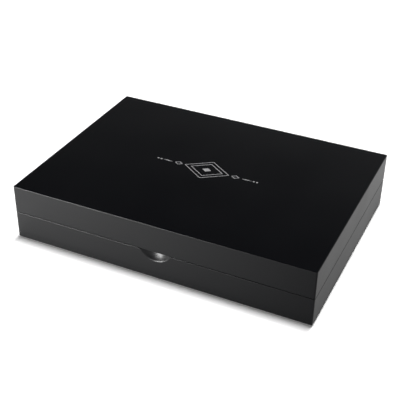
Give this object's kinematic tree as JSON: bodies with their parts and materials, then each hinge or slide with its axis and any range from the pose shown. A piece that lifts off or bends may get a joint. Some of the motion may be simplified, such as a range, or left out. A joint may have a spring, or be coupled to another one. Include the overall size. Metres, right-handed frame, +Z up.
{
  "type": "tea bag organizer box",
  "caption": "Flat rectangular lacquered box with a hinged lid, a finger scoop in the front and a fixed grid of open-topped compartments inside.",
  "frame": {"origin": "on the surface that the box stands on, under the middle of the case", "axes": "+Z up, front with the finger scoop towards -Y, width along X"},
  "size_m": [0.34, 0.245, 0.0655],
  "materials": {
    "black_lacquer": "satin black lacquer on fibreboard",
    "divider_board": "matt black painted board",
    "hinge_metal": "brushed nickel plate",
    "bright_metal": "satin nickel plate",
    "magnet": "bright nickel plate",
    "rubber": "matt"
  },
  "bodies": {
    "base": {"base_bottom_panel": "black_lacquer", "base_front_wall": "black_lacquer", "base_back_wall": "black_lacquer", "base_left_wall": "black_lacquer", "base_right_wall": "black_lacquer", "liner_front": "divider_board", "liner_back": "divider_board", "liner_left": "divider_board", "liner_right": "divider_board", "long_divider_1": "divider_board", "long_divider_2": "divider_board", "cross_divider_1": "divider_board", "cross_divider_2": "divider_board", "cross_divider_3": "divider_board", "base_magnet_left": "magnet", "base_magnet_right": "magnet", "hinge_left_base_leaf": "hinge_metal", "hinge_right_base_leaf": "hinge_metal", "hinge_left_pin": "bright_metal", "hinge_right_pin": "bright_metal", "hinge_left_base_screws": "bright_metal", "hinge_right_base_screws": "bright_metal", "foot_front_left": "rubber", "foot_front_right": "rubber", "foot_back_left": "rubber", "foot_back_right": "rubber"},
    "lid": {"lid_top_panel": "black_lacquer", "lid_front_wall": "black_lacquer", "lid_back_wall": "black_lacquer", "lid_left_wall": "black_lacquer", "lid_right_wall": "black_lacquer", "lid_magnet_left": "magnet", "lid_magnet_right": "magnet", "hinge_left_lid_leaf": "hinge_metal", "hinge_right_lid_leaf": "hinge_metal", "hinge_left_lid_screws": "bright_metal", "hinge_right_lid_screws": "bright_metal"}
  },
  "joints": [
    {"name": "lid_hinge", "type": "hinge", "parent": "base", "child": "lid", "pos_m": [0, 0.1205, 0.03335], "axis": [-1, 0, 0], "range_deg": [0, 100]}
  ]
}
